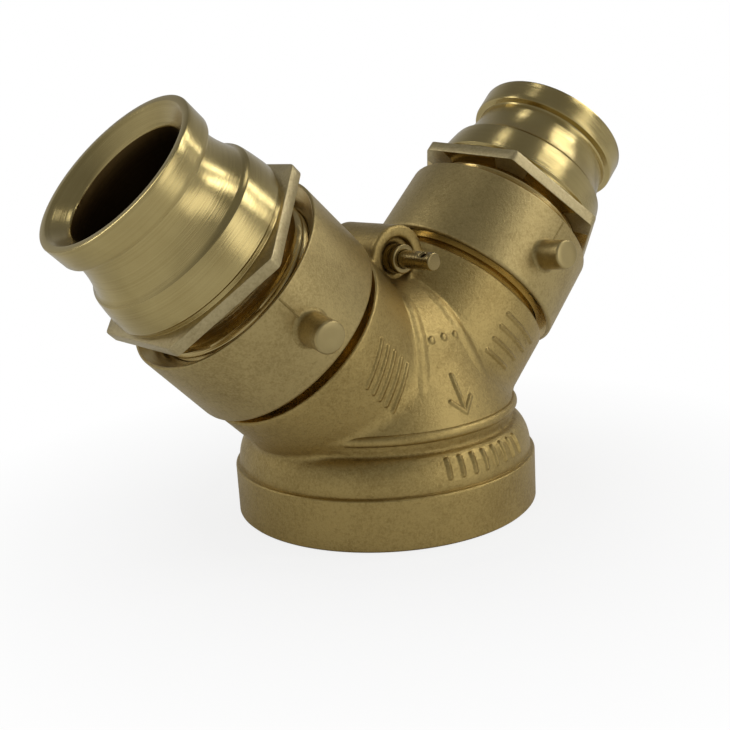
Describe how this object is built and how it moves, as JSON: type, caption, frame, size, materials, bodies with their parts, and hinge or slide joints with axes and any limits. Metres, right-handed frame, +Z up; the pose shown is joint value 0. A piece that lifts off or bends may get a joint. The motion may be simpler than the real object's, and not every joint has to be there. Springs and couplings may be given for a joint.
{
  "type": "fire department connection",
  "caption": "Two-way brass fire department connection: threaded outlet below, twin swivel inlets at 45 degrees with cam-and-groove adapters, and a clapper inside.",
  "frame": {"origin": "centre of the outlet collar's bottom face", "axes": "+Z up along the outlet's axis, +X towards the right inlet, -Y towards the side that the hinge pin comes out of"},
  "size_m": [0.3008, 0.14, 0.188],
  "materials": {
    "cast_brass": "sand-blasted cast brass, satin and slightly grained, with dull brown shading in the hollows",
    "turned_brass": "lathe-turned pale brass, bright, with fine turning rings",
    "bronze": "machined bronze, satin",
    "rubber": "black moulded rubber, matt",
    "ball_steel": "ground stainless steel balls"
  },
  "bodies": {
    "body": {"body_casting": "cast_brass", "seat_ring_left": "bronze", "seat_ring_right": "bronze", "hinge_pin": "turned_brass", "pin_gland": "turned_brass", "pin_packing": "rubber", "bearing_balls_left": "ball_steel", "bearing_balls_right": "ball_steel"},
    "clapper": {"clapper_plate": "bronze", "facing_left": "rubber", "facing_right": "rubber", "facing_washer_left": "bronze", "facing_washer_right": "bronze", "clapper_bolt": "bronze", "clapper_nut": "bronze"},
    "inlet_left": {"swivel_ring_left": "cast_brass", "ball_plug_left": "turned_brass", "swivel_gasket_left": "rubber", "adapter_left": "turned_brass"},
    "inlet_right": {"swivel_ring_right": "cast_brass", "ball_plug_right": "turned_brass", "swivel_gasket_right": "rubber", "adapter_right": "turned_brass"}
  },
  "joints": [
    {"name": "inlet_left_swivel", "type": "hinge", "parent": "body", "child": "inlet_left", "pos_m": [-0.0594, 0, 0.097], "axis": [-0.7071, 0, 0.7071], "continuous": true},
    {"name": "inlet_right_swivel", "type": "hinge", "parent": "body", "child": "inlet_right", "pos_m": [0.0594, 0, 0.097], "axis": [0.7071, 0, 0.7071], "continuous": true},
    {"name": "clapper_swing", "type": "hinge", "parent": "body", "child": "clapper", "pos_m": [0, 0, 0.1139], "axis": [0, 1, 0], "range_deg": [-45, 45]}
  ]
}
